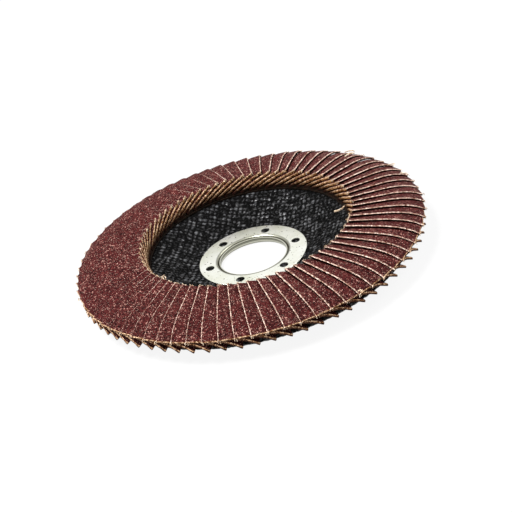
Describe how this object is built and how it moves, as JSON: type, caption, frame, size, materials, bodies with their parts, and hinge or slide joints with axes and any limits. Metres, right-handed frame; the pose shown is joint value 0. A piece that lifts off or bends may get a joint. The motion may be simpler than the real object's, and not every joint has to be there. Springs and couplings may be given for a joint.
{
  "type": "flap disc",
  "caption": "Conical flap disc for an angle grinder: overlapping abrasive cloth flaps glued round a dished plate with a steel-lined bore.",
  "frame": {"origin": "centre of the bore at the back face of the hub", "axes": "+Z along the bore axis, towards the abrasive side"},
  "size_m": [0.1162, 0.1162, 0.0141],
  "materials": {
    "glass_cloth_resin": "black resin over woven glass cloth, semi-gloss",
    "tinned_steel": "satin tinned sheet steel",
    "adhesive": "dark cured adhesive",
    "coated_cloth": "maroon abrasive grain on tan cloth"
  },
  "bodies": {
    "root": {"backing_plate": "glass_cloth_resin", "front_ring": "tinned_steel", "back_ring": "tinned_steel", "adhesive_bed": "adhesive", "flaps_01": "coated_cloth", "flaps_02": "coated_cloth", "flaps_03": "coated_cloth", "flaps_04": "coated_cloth", "flaps_05": "coated_cloth", "flaps_06": "coated_cloth", "flaps_07": "coated_cloth", "flaps_08": "coated_cloth", "flaps_09": "coated_cloth", "flaps_10": "coated_cloth", "flaps_11": "coated_cloth", "flaps_12": "coated_cloth", "flaps_13": "coated_cloth", "flaps_14": "coated_cloth", "flaps_15": "coated_cloth", "flaps_16": "coated_cloth", "flaps_17": "coated_cloth", "flaps_18": "coated_cloth", "flaps_19": "coated_cloth", "flaps_20": "coated_cloth", "flaps_21": "coated_cloth", "flaps_22": "coated_cloth", "flaps_23": "coated_cloth", "flaps_24": "coated_cloth", "flaps_25": "coated_cloth", "flaps_26": "coated_cloth", "flaps_27": "coated_cloth", "flaps_28": "coated_cloth", "flaps_29": "coated_cloth", "flaps_30": "coated_cloth", "flaps_31": "coated_cloth", "flaps_32": "coated_cloth", "flaps_33": "coated_cloth", "flaps_34": "coated_cloth", "flaps_35": "coated_cloth", "flaps_36": "coated_cloth"}
  },
  "joints": []
}
